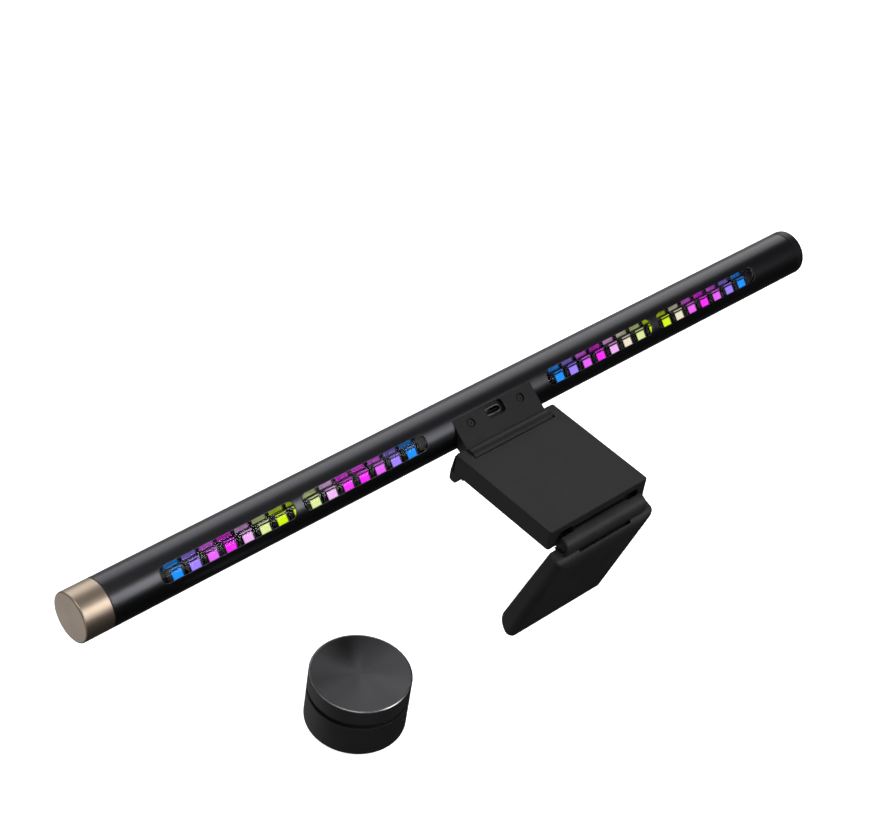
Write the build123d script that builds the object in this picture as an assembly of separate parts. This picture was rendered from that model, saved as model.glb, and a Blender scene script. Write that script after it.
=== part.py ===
from build123d import *
import os
from math import asin, atan2, cos, degrees, radians, sin, sqrt, tan

# Monitor light bar: a lamp tube that tilts on a clamp, a sprung rear leg, and a desk dial.
# X runs along the lamp tube, -Y points to the person at the desk, +Z is up. Millimetres.
# The origin is the middle of the pad that rests on the monitor's top edge.

os.makedirs("parts", exist_ok=True)

# ---- fits ----
running_gap = 0.05          # radial, a pin in its bore
seat_gap = 0.05             # between two pieces of one body that sit together
side_gap = 0.3              # between the flanks of pieces that turn past each other
swing_gap = 1.0             # radial, a barrel in its hollow

# ---- clamp ----
clamp_width = 59.0
clamp_depth = 59.0
clamp_height = 10.4         # pad face to top
clamp_wall = 1.8
clamp_corner = 1.2
pad_proud = 0.4             # the rest pad stands this far below the shell
pad_thickness = 1.4
base_thickness = 1.8

# ---- lamp tube ----
tube_length = 427.0         # over both caps
tube_radius = 11.0
tube_wall = 1.2
tube_gap = 5.7              # from the back of the tube to the front of the clamp
tube_drop = 0.9             # the tube's axis below the clamp's top
tube_shift = 3.0            # the tube's middle off the clamp's middle
gold_cap_length = 13.5
black_cap_length = 6.0
cap_wall = 1.5
cap_spigot_length = 8.0
cap_seal_thickness = 0.4

# ---- rear light: two strips of colour cells, each behind two windows ----
window_angle = 42.0         # of the window's middle above +Y
window_height = 7.4
window_corner = 2.9
window_inner_margin = 36.5  # from the tube's middle to the first window
window_outer_margin = 36.8  # from the last window to the end of the tube
window_bridge = 4.0
cell_pitch = 8.84
cell_end_room = 3.8
rgb_led_length = 5.0
rgb_led_height = 3.6
rgb_led_thickness = 0.9
rgb_led_low = 2.2           # the row's middle below the window's middle
strip_board_thickness = 0.8

# ---- front light ----
plate_angle = 55.4          # of the bracket plate's normal above +Y
diffuser_height = 8.8
diffuser_end_margin = 26.0
white_led_pitch = 9.0
white_led_length = 3.0
white_led_height = 2.6
white_led_thickness = 0.8

# ---- bracket that carries the tube ----
block_side_room = 6.0        # on each side of the bracket, to the clamp's sides
block_inlay_depth = 2.8
block_inlay_height = 7.2
tilt_barrel_radius = 3.8
tilt_barrel_back = 3.2      # the barrel's axis behind the clamp's front
tilt_barrel_drop = 2.8      # and below the clamp's top
tilt_pin_radius = 1.5
washer_thickness = 0.5
block_screw_x = 14.8
block_screw_low = 4.3       # along the plate from its upper edge
block_screw_head = 1.45
block_screw_recess = 2.0     # radius of the dark well round each head
block_screw_shank = 0.9
port_low = 3.5
port_width = 10.4
port_height = 6.2
port_depth = 2.2
plug_shell_width = 8.94
plug_shell_height = 3.26
plug_shell_length = 7.3
plug_shell_wall = 0.3

# ---- rear leg, in its own lean: a runs down the leg, b out of its back face ----
leg_barrel_radius = 4.5
leg_side_room = 5.5         # from the barrel's end to the clamp's side
leg_axis_behind = 2.1       # behind the clamp's back face
leg_axis_height = 1.4
leg_pin_radius = 1.25
leg_lean = 17.3
leg_reach = 65.2
leg_back = 7.3
leg_front_top = -0.5
leg_front_tip = -2.7
leg_shoulder = 2.7
leg_tip_round = 9.0
leg_round = 3.6
leg_wall = 1.8
leg_swing = 80.0
lug_width = 7.4
lug_inset = 0.3             # from the barrel's end to the lug's side
lug_gap = 0.4               # radial, a lug in the barrel
lug_pin_skin = 1.1          # what closes the pin's bore at its far end
knuckle_skin = 1.2          # of the barrel outside the lugs
knuckle_low = 10.0
knuckle_corner_run = 9.5    # the seam's slope at the knuckle's lower corners
knuckle_corner_round = 4.0
knuckle_tongue_room = 13.5  # from the tongue's side to the clamp's side, for the leg's screws
knuckle_slot_room = 13.8    # from the groove's end to the clamp's side
knuckle_slot_width = 1.2
knuckle_slot_depth = 2.6

# ---- screw posts in the clamp ----
clamp_post = 2.4
clamp_post_bore = 0.8

# ---- front hook ----
hook_reach = 4.9            # below the pad face
hook_proud = 1.4            # in front of the clamp

# ---- desk dial ----
desk_drop = 70.0            # the desk below the pad face
remote_x = 109.0
remote_y = 8.4
remote_radius = 21.8
remote_height = 27.4
remote_base_height = 17.0
remote_groove = 2.4
remote_neck_inset = 1.4
remote_wall = 1.8
dial_travel = 0.6
dial_disc_thickness = 1.2
dial_rim = 0.7              # of the ring, round the disc
encoder_shaft_radius = 3.0
dial_wall = 2.4             # of the ring, below the disc
dial_web = 1.4              # between the disc and the hollow
dial_disc_seat = 0.05
hub_wall = 2.2
hub_height = 4.8
remote_post = 2.2
remote_post_bore = 0.75
remote_post_low = 3.4

# ---- places worked out from the sizes ----
clamp_front = -clamp_depth / 2
clamp_back = clamp_depth / 2
clamp_half = clamp_width / 2
tube_y = clamp_front - tube_gap - tube_radius
tube_z = clamp_height - tube_drop
tube_bore = tube_radius - tube_wall
tilt_y = clamp_front + tilt_barrel_back
tilt_z = clamp_height - tilt_barrel_drop
block_half = clamp_half - block_side_room
block_width = 2 * block_half
leg_y = clamp_back + leg_axis_behind
leg_barrel_half = clamp_half - leg_side_room
leg_z = leg_axis_height
knuckle_tongue_half = clamp_half - knuckle_tongue_room
knuckle_slot_half = clamp_half - knuckle_slot_room
tube_low_x = tube_shift - tube_length / 2 + black_cap_length
tube_high_x = tube_shift + tube_length / 2 - gold_cap_length
cell_room = tube_length / 2 - window_outer_margin - window_inner_margin - 2 * cell_end_room
cell_count = int(cell_room / cell_pitch)
window_run = cell_count * cell_pitch + 2 * cell_end_room
strip_middle = window_inner_margin + window_run / 2
diffuser_length = tube_length - 2 * diffuser_end_margin
sides = {"left": 1, "right": -1}


def save(node, solids):
    """Write one node; a list becomes a group of separate solids."""
    shape = Compound(children=solids) if isinstance(solids, list) else solids
    shape.label = node
    export_step(shape, f"parts/{node}.step")


def prism_x(points, low_x, high_x):
    """Extrude an outline of (y, z) points along X."""
    face = make_face(Polyline(*points, close=True))
    return extrude(Plane.YZ.offset(low_x) * face, high_x - low_x)


def upright(radius, height):
    """A cylinder that stands on its own origin."""
    return Cylinder(radius, height, align=(Align.CENTER, Align.CENTER, Align.MIN))


def rod_x(radius, low_x, high_x, y, z):
    """A round bar along X."""
    return Plane.YZ.offset(low_x) * Pos(y, z, 0) * upright(radius, high_x - low_x)


def block(low, high):
    """A box from its lowest to its highest corner."""
    size = [b - a for a, b in zip(low, high)]
    return Pos(*low) * Box(*size, align=(Align.MIN, Align.MIN, Align.MIN))


def tube_plane(angle):
    """A frame on the tube's axis: its z points out at the angle, its y runs down the tube's side."""
    turn = radians(angle)
    return Plane(origin=(0, tube_y, tube_z), x_dir=(1, 0, 0), z_dir=(0, cos(turn), sin(turn)))


def plate_box(plane, middle_x, length, low_y, high_y, low_z, high_z):
    """A box in a tube frame."""
    size = (length, high_y - low_y, high_z - low_z)
    return plane * Pos(middle_x, (low_y + high_y) / 2, (low_z + high_z) / 2) * Box(*size)


def rounded_bar(plane, middle_x, middle_y, length, height, corner, low_z, high_z):
    """A bar with rounded corners, standing out along a tube frame's z."""
    face = RectangleRounded(length, height, corner)
    return plane * Pos(middle_x, middle_y, low_z) * extrude(face, high_z - low_z)


def screw(plane, x, y, top, head_radius, head_height, shank_radius, length):
    """A pan-head screw with a cross recess, its head's top at the given height."""
    head = Cylinder(head_radius, head_height, align=(Align.CENTER, Align.CENTER, Align.MAX))
    shank = Cylinder(shank_radius, length, align=(Align.CENTER, Align.CENTER, Align.MAX))
    slot = Box(head_radius * 1.1, head_radius * 0.28, head_height)
    body = head + Pos(0, 0, -head_height) * shank
    body -= slot + Rot(0, 0, 90) * slot
    return plane * Pos(x, y, top) * body


window_plane = tube_plane(window_angle)
plate_plane = tube_plane(plate_angle)
light_plane = tube_plane(plate_angle - 180)


# ---- lamp head ----
def window_outlines(shrink, low_z, high_z):
    """The four windows, as prisms through the tube's wall."""
    length = (window_run - window_bridge) / 2
    prisms = []
    for side in sides.values():
        for end in (-1, 1):
            middle = tube_shift + side * strip_middle + end * (length + window_bridge) / 2
            size = (length - 2 * shrink, window_height - 2 * shrink)
            corner = window_corner - shrink
            prisms.append(rounded_bar(window_plane, middle, 0, *size, corner, low_z, high_z))
    return prisms


def inlay(grow):
    """The part of the bracket that sits in the tube's wall."""
    floor = tube_radius - block_inlay_depth
    low_y = -grow
    high_y = block_inlay_height + grow
    width = block_width + 2 * grow
    return plate_box(plate_plane, 0, width, low_y, high_y, floor, tube_radius + 1)


def lamp_tube():
    tube = rod_x(tube_radius, tube_low_x, tube_high_x, tube_y, tube_z)
    tube -= rod_x(tube_bore, tube_low_x - 1, tube_high_x + 1, tube_y, tube_z)
    for prism in window_outlines(0, tube_bore / 2, tube_radius + 1):
        tube -= prism
    slot_end = diffuser_height / 2 - seat_gap
    slot = (diffuser_length, diffuser_height, slot_end, tube_bore / 2, tube_radius + 1)
    tube -= rounded_bar(light_plane, tube_shift, 0, *slot)
    return tube - inlay(seat_gap)


def end_cap(side, visible):
    """A cup with a spigot that presses into the tube. side is +1 for the gold one."""
    outer_x = tube_shift + side * tube_length / 2
    seat_x = outer_x - side * visible
    spigot_x = seat_x - side * (cap_spigot_length + cap_seal_thickness)
    shell = rod_x(tube_radius, min(outer_x, seat_x), max(outer_x, seat_x), tube_y, tube_z)
    rim = shell.edges().filter_by(GeomType.CIRCLE).sort_by(Axis.X)[-1 if side > 0 else 0]
    shell = fillet(rim, 0.7 if side > 0 else 1.6)
    seat_x += side * cap_seal_thickness
    body = shell & rod_x(tube_radius + 1, min(outer_x, seat_x), max(outer_x, seat_x), tube_y, tube_z)
    spigot = (tube_bore - seat_gap, min(spigot_x, seat_x), max(spigot_x, seat_x), tube_y, tube_z)
    body += rod_x(*spigot)
    hollow_x = outer_x - side * cap_wall * 2
    hollow = (tube_bore - cap_wall, min(spigot_x, hollow_x), max(spigot_x, hollow_x), tube_y, tube_z)
    return body - rod_x(*hollow)


def cap_seals():
    """A thin black ring between each cap and the tube."""
    seals = []
    for low_x in (tube_high_x, tube_low_x - cap_seal_thickness):
        ring = rod_x(tube_radius - 0.3, low_x, low_x + cap_seal_thickness, tube_y, tube_z)
        bore = rod_x(tube_bore, low_x - 1, low_x + cap_seal_thickness + 1, tube_y, tube_z)
        seals.append(ring - bore)
    return seals


def wall_shell(inner, outer, low_x, high_x):
    """A tube between two radii on the lamp's axis."""
    return rod_x(outer, low_x, high_x, tube_y, tube_z) - rod_x(inner, low_x - 1, high_x + 1, tube_y, tube_z)


def window_lenses():
    """Clear covers that lie flush in the four windows."""
    wall = wall_shell(tube_bore + 0.2, tube_radius - 0.15, tube_low_x, tube_high_x)
    return [(wall & prism).solids()[0] for prism in window_outlines(seat_gap, 0, tube_radius + 1)]


def front_diffuser():
    """The frosted strip that lights the desk, round outside and flat inside."""
    size = (diffuser_length - 2 * seat_gap, diffuser_height - 2 * seat_gap)
    corner = size[1] / 2 - seat_gap
    bar = rounded_bar(light_plane, tube_shift, 0, *size, corner, tube_bore - 1.2, tube_radius + 1)
    return bar & rod_x(tube_radius - 0.05, tube_low_x, tube_high_x, tube_y, tube_z)


white_board_top = tube_bore - 3.4
white_board_thickness = 1.0
white_board_length = diffuser_length - 10


def white_led_board():
    low_z = white_board_top - white_board_thickness
    return plate_box(light_plane, tube_shift, white_board_length, -4.2, 4.2, low_z, white_board_top)


def white_leds():
    count = int(white_board_length / white_led_pitch)
    start = tube_shift - (count - 1) * white_led_pitch / 2
    half = white_led_height / 2
    size = (white_led_length, -half, half, white_board_top, white_board_top + white_led_thickness)
    return [plate_box(light_plane, start + i * white_led_pitch, *size) for i in range(count)]


rgb_led_face = tube_bore - 1.1
rgb_board_top = rgb_led_face - rgb_led_thickness
rgb_floor = tube_bore / 2 + 0.1
cells_length = cell_count * cell_pitch
divider_y = -0.3            # between the colour row and the trough above it
divider_thickness = 0.6


def cell_middles(side):
    """Where the colour cells of one side stand along X."""
    start = tube_shift + side * strip_middle - (cell_count - 1) * cell_pitch / 2
    return [start + i * cell_pitch for i in range(cell_count)]


def rgb_board(side):
    low_y = divider_y + seat_gap
    high_y = rgb_led_low + 2.3
    low_z = rgb_board_top - strip_board_thickness
    middle = tube_shift + side * strip_middle
    return plate_box(window_plane, middle, cells_length, low_y, high_y, low_z, rgb_board_top)


def rgb_leds(side):
    low_y = rgb_led_low - rgb_led_height / 2
    span = (low_y, low_y + rgb_led_height, rgb_board_top, rgb_led_face)
    return [plate_box(window_plane, x, rgb_led_length, *span) for x in cell_middles(side)]


def rgb_reflector(side):
    """A trough above the colour row, a divider and a rib at each cell's edge."""
    middle = tube_shift + side * strip_middle
    length = cells_length + divider_thickness
    trough_y = divider_y - divider_thickness
    top_y = -window_height / 2 - 0.9
    body = plate_box(window_plane, middle, length, top_y, divider_y, rgb_floor, rgb_floor + 0.7)
    body += plate_box(window_plane, middle, length, trough_y, divider_y, rgb_floor, rgb_led_face + 0.2)
    body += plate_box(window_plane, middle, length, top_y, top_y + 0.6, rgb_floor, tube_bore - 1.5)
    low_y = rgb_led_low + rgb_led_height / 2 + 0.05
    for i in range(cell_count + 1):
        x = middle + (i - cell_count / 2) * cell_pitch
        body += plate_box(window_plane, x, 0.9, divider_y - 0.1, low_y, rgb_board_top, rgb_led_face + 0.1)
        body += plate_box(window_plane, x, 0.9, top_y, divider_y - 0.1, rgb_floor, rgb_floor + 2.2)
    return body


def board_carrier(side):
    """The plastic spine of one side, which holds the colour strip and the white strip apart."""
    middle = tube_shift + side * strip_middle
    low_x = middle - cells_length / 2
    high_x = middle + cells_length / 2
    core = rod_x(tube_bore - 0.4, low_x, high_x, tube_y, tube_z)
    reach = tube_radius + 1
    core -= plate_box(window_plane, middle, cells_length + 2, -reach, reach, rgb_floor - seat_gap, reach)
    white_floor = white_board_top - white_board_thickness - seat_gap
    core -= plate_box(light_plane, middle, cells_length + 2, -reach, reach, white_floor, reach)
    for direction in (-1, 1):
        near = 5.4 * direction
        far = reach * direction
        cut = (min(near, far), max(near, far), -reach, reach)
        core -= plate_box(window_plane, middle, cells_length + 2, *cut)
    ledge_top = rgb_board_top - strip_board_thickness - seat_gap
    ledge = (divider_y + seat_gap, rgb_led_low + 2.3, 0, ledge_top)
    core += plate_box(window_plane, middle, cells_length, *ledge)
    return core - rod_x(2.4, low_x - 1, high_x + 1, tube_y, tube_z)


control_board_thickness = 1.2
control_board_high = tube_radius - port_depth - 0.1 - plug_shell_length
control_board_low = control_board_high - control_board_thickness
control_half = 28.0


def control_board():
    return plate_box(plate_plane, 0, 2 * control_half, -7.5, 7.5, control_board_low, control_board_high)


def control_chips():
    """Coils, a driver and capacitors on both sides of the control board."""
    up = control_board_high
    down = control_board_low
    return [
        plate_box(plate_plane, -18, 7, -4.5, 2.5, up, up + 3),
        plate_box(plate_plane, -9.5, 5, -5, 0, up, up + 1.2),
        plate_box(plate_plane, 9, 6, -5.5, -1, up, up + 1.5),
        plate_box(plate_plane, 14, 8, -4, 4, down - 2.2, down),
        plate_box(plate_plane, -12, 5, -3, 3, down - 1.4, down),
    ]


def radio_module():
    """The small board with a metal can that hears the dial."""
    up = control_board_high
    board = plate_box(plate_plane, 20.5, 12, -6.5, 1.5, up, up + 0.8)
    can = plate_box(plate_plane, 19.5, 9, -5.8, 0.8, up + 0.8, up + 2.6)
    return board + can


def board_links():
    """Pin strips that carry power from the control board to the white strip."""
    low_z = -(white_board_top - white_board_thickness) + 0.02
    high_z = control_board_low
    return [plate_box(plate_plane, x, 6, -1.3, 1.3, low_z, high_z) for x in (-22, 24)]


def usb_c_shell():
    low_z = control_board_high
    high_z = low_z + plug_shell_length
    size = (plug_shell_width, plug_shell_height)
    outer = rounded_bar(plate_plane, 0, port_low, *size, size[1] / 2 - 0.01, low_z, high_z)
    inner_size = [value - 2 * plug_shell_wall for value in size]
    corner = inner_size[1] / 2 - 0.01
    return outer - rounded_bar(plate_plane, 0, port_low, *inner_size, corner, low_z + 1.2, high_z + 1)


def usb_c_tongue():
    low_z = control_board_high + 1.2
    high_z = low_z + plug_shell_length - 2.2
    return plate_box(plate_plane, 0, 6.7, port_low - 0.35, port_low + 0.35, low_z, high_z)


def mount_block():
    """The bracket: a flat plate that leaves the tube on a tangent and ends in the tilt barrel."""
    turn = radians(plate_angle)
    out_y, out_z = cos(turn), sin(turn)
    top = (tube_y + tube_radius * out_y, tube_z + tube_radius * out_z)
    height = (tilt_y - tube_y) * out_y + (tilt_z - tube_z) * out_z
    dip = tube_radius - height
    reach = (tilt_y - top[0]) * out_z - (tilt_z - top[1]) * out_y
    half_chord = sqrt(tilt_barrel_radius**2 - min(dip, tilt_barrel_radius * 0.9)**2)
    low = reach - half_chord
    plate_end = (top[0] + low * out_z, top[1] - low * out_y)
    under = radians(-12)
    tube_side = (tube_y + tube_radius * cos(under), tube_z + tube_radius * sin(under))
    belly = (tilt_y - tilt_barrel_radius * 0.5, tilt_z - tilt_barrel_radius * 0.866)
    outline = [top, plate_end, (tilt_y, tilt_z), belly, tube_side, (tube_y, tube_z)]
    body = prism_x(outline, -block_half, block_half)
    body += rod_x(tilt_barrel_radius, -block_half, block_half, tilt_y, tilt_z)
    body -= rod_x(tube_radius + seat_gap, -block_half - 1, block_half + 1, tube_y, tube_z)
    plug = inlay(0) & plate_box(plate_plane, 0, block_width, -1, 20, 0, tube_radius)
    body += plug
    body -= rod_x(tilt_pin_radius + running_gap, -block_half - 1, block_half + 1, tilt_y, tilt_z)
    recess = (port_width, port_height, 1.8, tube_radius - port_depth, tube_radius + 1)
    body -= rounded_bar(plate_plane, 0, port_low, *recess)
    size = (plug_shell_width + 0.2, plug_shell_height + 0.2)
    body -= rounded_bar(plate_plane, 0, port_low, *size, size[1] / 2 - 0.01, 0, tube_radius)
    for side in sides.values():
        place = plate_plane * Pos(side * block_screw_x, block_screw_low, tube_radius)
        body -= place * Cylinder(block_screw_recess, 2.2)
        body -= place * Cylinder(block_screw_shank + 0.1, 12)
    return body


def block_screws():
    head = (block_screw_head, 0.8, block_screw_shank, 4.2)
    top = tube_radius - 0.3
    return [screw(plate_plane, side * block_screw_x, block_screw_low, top, *head) for side in sides.values()]


def screw_anchors():
    """Tapped blocks inside the tube, drawn up against the bracket by its two screws."""
    floor = tube_radius - block_inlay_depth - seat_gap
    core = rod_x(tube_bore - 0.1, -block_half, block_half, tube_y, tube_z)
    hole = Cylinder(block_screw_shank, 30)
    anchors = []
    for side in sides.values():
        lump = plate_box(plate_plane, side * block_screw_x, 7, 1.5, 7.5, floor - 2.6, floor) & core
        anchors.append(lump - plate_plane * Pos(side * block_screw_x, block_screw_low, 0) * hole)
    return anchors


# ---- clamp ----
pocket_radius = tilt_barrel_radius + swing_gap
pocket_half = block_half + washer_thickness + side_gap
hollow_front = tilt_y + pocket_radius + clamp_wall
hollow_back = clamp_back - 4.6
hollow_half = clamp_half - clamp_wall
tilt_pin_half = clamp_half - 1.2
post_places = [(x, y) for x in (-1, 1) for y in (-1, 1)]


def post_xy(x, y):
    """The middle of one of the four screw posts."""
    middle_y = (hollow_front + hollow_back) / 2
    return x * (hollow_half - 3.4), middle_y + y * ((hollow_back - hollow_front) / 2 - 3.6)


leg_scallop = leg_barrel_radius + swing_gap / 2
lug_radius = leg_barrel_radius - knuckle_skin - lug_gap
lug_middle = leg_barrel_half - lug_inset - lug_width / 2
lug_room = lug_width + 2 * lug_inset
leg_pin_low = -lug_middle - lug_width / 2
leg_pin_high = lug_middle + lug_width / 2 - lug_pin_skin     # blind, so the pin goes in from one side


def leg_lugs():
    """The two lugs that reach into the leg's barrel and hold its pin."""
    root_y = leg_y - leg_scallop - 0.6
    over = leg_z - 0.1
    under = leg_z - lug_radius * 0.75
    web = [(root_y, pad_proud), (root_y, over), (leg_y, over), (leg_y, under), (root_y + 1.4, under)]
    lugs = []
    for side in sides.values():
        low_x = side * lug_middle - lug_width / 2
        high_x = low_x + lug_width
        lugs.append(prism_x(web, low_x, high_x) + rod_x(lug_radius, low_x, high_x, leg_y, leg_z))
    return lugs


def clamp_cover():
    shell = block((-clamp_half, clamp_front, pad_proud), (clamp_half, clamp_back, clamp_height))
    shell = fillet(shell.edges().filter_by(Axis.Z), clamp_corner)
    shell = fillet(shell.faces().sort_by(Axis.Z)[-1].edges(), 0.35)
    shell -= block((-hollow_half, hollow_front, 0), (hollow_half, hollow_back, clamp_height - clamp_wall))
    shell -= rod_x(pocket_radius, -pocket_half, pocket_half, tilt_y, tilt_z)
    mouth_low = (-pocket_half, clamp_front - 1, tilt_z - pocket_radius)
    shell -= block(mouth_low, (pocket_half, tilt_y, clamp_height + 1))
    shell -= rod_x(tilt_pin_radius, -tilt_pin_half, tilt_pin_half, tilt_y, tilt_z)
    barrel_room = leg_barrel_half + side_gap
    shell -= rod_x(leg_scallop, -barrel_room, barrel_room, leg_y, leg_z)
    for side in sides.values():
        notch_x = side * lug_middle
        notch_low = (notch_x - lug_room / 2, clamp_back - 2.6, leg_z)
        shell -= block(notch_low, (notch_x + lug_room / 2, clamp_back + 1, leg_z + leg_barrel_radius + 1.4))
    shell += leg_lugs()
    shell -= rod_x(leg_pin_radius, leg_pin_low, leg_pin_high, leg_y, leg_z)
    for x, y in post_places:
        post = upright(clamp_post, clamp_height - clamp_wall - base_thickness - pad_proud)
        shell += Pos(*post_xy(x, y), base_thickness + pad_proud) * (post - Cylinder(clamp_post_bore, 12))
    return shell


def clamp_base():
    gap = 2 * seat_gap
    low = (-hollow_half + gap, hollow_front + gap, pad_proud)
    high = (hollow_half - gap, hollow_back - gap, pad_proud + base_thickness)
    plate = block(low, high)
    plate -= pad_body(seat_gap)
    for x, y in post_places:
        place = Pos(*post_xy(x, y), 0)
        plate -= place * Cylinder(1.1, 12)
        plate -= place * Cylinder(2.1, 2 * (pad_proud + 1.0))
    return plate


def pad_body(grow):
    half_x = hollow_half - 7.4
    low = (-half_x - grow, hollow_front + 2.4 - grow, 0)
    high = (half_x + grow, hollow_back - 2.4 + grow, pad_thickness + grow)
    pad = block(low, high)
    return fillet(pad.edges().filter_by(Axis.Z), 2.0)


def clamp_screws():
    screws = []
    for x, y in post_places:
        place = Plane(origin=(*post_xy(x, y), pad_proud + 0.15), x_dir=(1, 0, 0), z_dir=(0, 0, -1))
        screws.append(screw(place, 0, 0, 0, 1.9, 0.8, 0.8, 5.0))
    return screws


def ballast_weight():
    low_z = pad_proud + base_thickness + 0.2
    low = (-hollow_half + 0.4, hollow_front + 0.4, low_z)
    high = (hollow_half - 0.4, hollow_back - 0.4, clamp_height - clamp_wall - 0.2)
    slug = block(low, high)
    for x, y in post_places:
        slug -= Pos(*post_xy(x, y), 0) * Cylinder(clamp_post + 0.3, 40)
    return slug


hook_front = clamp_front - hook_proud
hook_tip_round = 2.0


def front_hook():
    """The lip that hangs in front of the monitor's top edge."""
    face = clamp_front - seat_gap
    under = pad_proud - seat_gap
    outline = [(face, clamp_height - 1.0), (hook_front, under), (hook_front, -hook_reach)]
    outline += [(clamp_front + 2.3, -hook_reach), (clamp_front + 5.6, under), (face, under)]
    lip = prism_x(outline, -clamp_half, clamp_half)
    tip = lip.edges().filter_by(Axis.X).group_by(Axis.Z)[0]
    lip = fillet(tip, hook_tip_round * 0.72)
    pocket_side = pocket_half + 0.2
    cut_low = (-pocket_side, hook_front - 1, tilt_z - pocket_radius - 0.4)
    return lip - block(cut_low, (pocket_side, face + 1, clamp_height))


def hook_pad():
    """A soft strip on the back slope of the hook."""
    start = (clamp_front + 3.1, -hook_reach + 1.2)
    end = (clamp_front + 5.1, pad_proud - 0.9)
    run = atan2(end[1] - start[1], end[0] - start[0])
    outline = []
    for point, depth in ((start, 0.0), (end, 0.0), (end, 0.9), (start, 0.9)):
        outline.append((point[0] + (depth + 0.05) * sin(run), point[1] - (depth + 0.05) * cos(run)))
    return prism_x(outline, -clamp_half + 3, clamp_half - 3)


def tilt_pin():
    return rod_x(tilt_pin_radius, -tilt_pin_half, tilt_pin_half, tilt_y, tilt_z)


def tilt_washers():
    """Spring washers that give the tilt hinge its friction."""
    washers = []
    for side in sides.values():
        near = side * (block_half + side_gap / 2)
        far = near + side * washer_thickness
        ring = rod_x(tilt_barrel_radius - 0.5, min(near, far), max(near, far), tilt_y, tilt_z)
        washers.append(ring - rod_x(tilt_pin_radius + running_gap, near - 2, near + 2, tilt_y, tilt_z))
    return washers


def leg_pin():
    return rod_x(leg_pin_radius, leg_pin_low, leg_pin_high, leg_y, leg_z)


# ---- rear leg ----
lean = radians(leg_lean)


def leg_point(along, out):
    """From the leg's own lean to (y, z)."""
    return (leg_y - along * sin(lean) + out * cos(lean), leg_z - along * cos(lean) - out * sin(lean))


def leg_front(along):
    """How far out the front face stands at a place down the leg."""
    share = (along - leg_shoulder) / (leg_reach - leg_shoulder)
    return leg_front_top + share * (leg_front_tip - leg_front_top)


def leg_prism(points, half):
    return prism_x([leg_point(*point) for point in points], -half, half)


def leg_screw_places():
    return [(side * (clamp_half - 8.5), 17.0) for side in sides.values()]


def leg_plane(along, out):
    """A frame on the leg whose z points out of the front face."""
    y, z = leg_point(along, out)
    return Plane(origin=(0, y, z), x_dir=(1, 0, 0), z_dir=(0, -cos(lean), sin(lean)))


def leg_outer():
    outline = [(leg_shoulder, leg_front(leg_shoulder)), (leg_shoulder, leg_back)]
    outline += [(leg_reach, leg_back), (leg_reach, leg_front(leg_reach))]
    body = leg_prism(outline, clamp_half)
    tip = body.edges().filter_by(Axis.X).sort_by(lambda edge: edge.center().Y)[0]
    body = fillet(tip, leg_tip_round)
    middle_y = leg_point(leg_reach / 2, leg_back)[0]
    long_edges = [edge for edge in body.edges() if edge.length > leg_reach * 0.8]
    rear_edges = [edge for edge in long_edges if abs(edge.center().Y - middle_y) < 1.0]
    top_y, top_z = leg_point(leg_shoulder, leg_back)
    top_edges = [edge for edge in body.edges().filter_by(Axis.X) if abs(edge.center().Z - top_z) < 0.01]
    top_edges = [edge for edge in top_edges if abs(edge.center().Y - top_y) < 0.01]
    side_edges = [edge for edge in rear_edges if abs(abs(edge.center().X) - clamp_half) < 0.01]
    body = fillet(side_edges + top_edges, leg_round)
    foot_z = leg_point(leg_reach, leg_back)[1] + 0.5
    foot = [edge for edge in body.edges().filter_by(Axis.X) if edge.center().Z < foot_z]
    return fillet(foot, 1.2)


def knuckle_region(grow):
    """The leg's top, down to the seam, as a prism along the leg's back normal."""
    reach = clamp_half + 1.5 + grow
    low = knuckle_low + grow
    corner_x = reach - knuckle_corner_run
    points = [(-reach, -leg_reach), (reach, -leg_reach), (reach, low - knuckle_corner_run)]
    points += [(corner_x, low), (-corner_x, low), (-reach, low - knuckle_corner_run)]
    face = make_face(Polyline(*points, close=True))
    corners = [vertex for vertex in face.vertices() if abs(vertex.Y - low) < 0.01]
    face = fillet(corners, knuckle_corner_round)
    y, z = leg_point(0, -3 * leg_back)
    down = Plane(origin=(0, y, z), x_dir=(1, 0, 0), z_dir=(0, cos(lean), -sin(lean)))
    return down * extrude(face, 6 * leg_back)


def knuckle_tongue(grow):
    """What holds the knuckle in the shell: a tongue into the leg's hollow."""
    tongue = [(knuckle_low - 3, 1.4 - grow), (knuckle_low - 3, 4.4 + grow)]
    tongue += [(leg_hollow_low + 5, 4.4 + grow), (leg_hollow_low + 5, 1.4 - grow)]
    return leg_prism(tongue, knuckle_tongue_half + grow)


def leg_knuckle():
    body = leg_outer() & knuckle_region(0)
    body += knuckle_tongue(0)
    barrel = rod_x(leg_barrel_radius, -leg_barrel_half, leg_barrel_half, leg_y, leg_z)
    neck_low = leg_shoulder + 0.8
    neck = [(0, leg_barrel_radius), (neck_low, leg_barrel_radius), (neck_low, 0), (0, 0)]
    body += barrel + leg_prism(neck, leg_barrel_half)
    for side in sides.values():
        near = side * (lug_middle - lug_room / 2)
        far = side * (leg_barrel_half + 0.1)
        low_x, high_x = min(near, far), max(near, far)
        body -= rod_x(lug_radius + lug_gap, low_x, high_x, leg_y, leg_z)
        body -= prism_x(lug_sweep(), low_x, high_x)
    body -= rod_x(leg_pin_radius + running_gap, -leg_barrel_half - 1, leg_barrel_half + 1, leg_y, leg_z)
    body -= rod_x(spring_outer + 0.3, -spring_half - 0.4, spring_half + 0.4, leg_y, leg_z)
    slot_in = leg_barrel_radius - 0.1
    slot_out = slot_in + knuckle_slot_width
    slot_low = leg_shoulder + knuckle_slot_depth
    slot = [(leg_shoulder - 1, slot_in), (slot_low, slot_in)]
    slot += [(slot_low, slot_out), (leg_shoulder - 1, slot_out)]
    return body - leg_prism(slot, knuckle_slot_half)


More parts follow.
